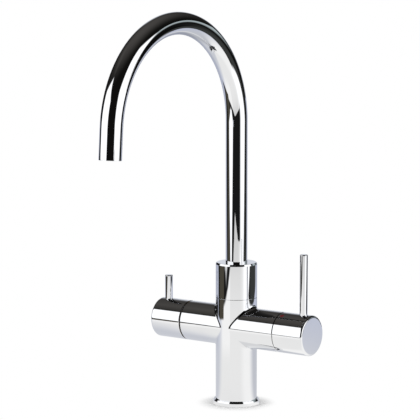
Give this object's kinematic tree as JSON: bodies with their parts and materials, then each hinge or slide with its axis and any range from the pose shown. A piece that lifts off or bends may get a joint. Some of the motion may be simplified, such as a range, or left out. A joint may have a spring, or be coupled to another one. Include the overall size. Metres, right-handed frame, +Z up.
{
  "type": "boiling water tap",
  "caption": "Deck mounted chrome kitchen tap with a swan neck spout, a push and turn boiling water handle on the left arm and a mixer handle on the right arm.",
  "frame": {"origin": "on the upright axis of the body, in the plane of the worktop that the gasket rests on", "axes": "+Z up along the body, +X along the mixer arm to the user's right, -Y towards the user, with the spout straight ahead"},
  "size_m": [0.1999, 0.2568, 0.4307],
  "materials": {
    "chrome": "polished",
    "brass": "machined",
    "steel": "bright",
    "rubber": "moulded",
    "dark_plastic": "moulded",
    "pale_plastic": "moulded",
    "nozzle_plastic": "moulded",
    "ceramic": "lapped",
    "red_enamel": "gloss",
    "blue_enamel": "gloss"
  },
  "bodies": {
    "tap_body": {"base_ring": "chrome", "base_gasket": "rubber", "tap_body": "chrome", "spout_stop_screw": "steel", "spout_glide_washer": "dark_plastic", "boiling_tube_seal": "rubber", "boiling_cartridge_seal": "rubber", "boiling_cartridge_base": "dark_plastic", "boiling_cartridge_sleeve": "brass", "boiling_fixed_disc": "ceramic", "boiling_cartridge_nut": "brass", "boiling_glide_ring": "dark_plastic", "mixer_cartridge_seal": "rubber", "mixer_cartridge_base": "dark_plastic", "mixer_cartridge_sleeve": "brass", "mixer_fixed_disc": "ceramic", "mixer_cartridge_nut": "brass", "mixer_glide_ring": "dark_plastic"},
    "spout": {"spout_collar": "chrome", "spout_tube": "chrome", "spout_spigot": "brass", "spigot_o_ring_lower": "rubber", "spigot_o_ring_upper": "rubber", "collar_screw": "steel", "boiling_tube": "steel", "boiling_tube_guide": "pale_plastic", "outlet_nozzle": "nozzle_plastic"},
    "mixer_handle": {"mixer_handle_cap": "chrome", "mixer_lever": "chrome", "mixer_handle_screw": "steel", "mixer_spindle": "brass", "mixer_moving_disc": "ceramic", "mixer_spindle_seal": "rubber", "hot_mark": "red_enamel", "cold_mark": "blue_enamel"},
    "boiling_spindle": {"boiling_spindle": "brass", "boiling_moving_disc": "ceramic", "boiling_spindle_seal": "rubber", "boiling_return_spring": "steel"},
    "boiling_handle": {"boiling_handle_cap": "chrome", "boiling_lever": "chrome", "boiling_handle_screw": "steel"}
  },
  "joints": [
    {"name": "spout_swivel", "type": "hinge", "parent": "tap_body", "child": "spout", "pos_m": [0, 0, 0.118], "axis": [0, 0, 1], "range_deg": [-70, 70]},
    {"name": "mixer_turn", "type": "hinge", "parent": "tap_body", "child": "mixer_handle", "pos_m": [0, 0, 0.0855], "axis": [1, 0, 0], "range_deg": [-75, 75]},
    {"name": "boiling_turn", "type": "hinge", "parent": "tap_body", "child": "boiling_spindle", "pos_m": [0, 0, 0.0855], "axis": [1, 0, 0], "range_deg": [0, 90]},
    {"name": "boiling_push", "type": "slide", "parent": "boiling_spindle", "child": "boiling_handle", "axis": [1, 0, 0], "range_m": [0, 0.0012], "stiffness_N_per_m": 1500, "springref_m": -0.004, "deforming": ["boiling_return_spring"]}
  ]
}
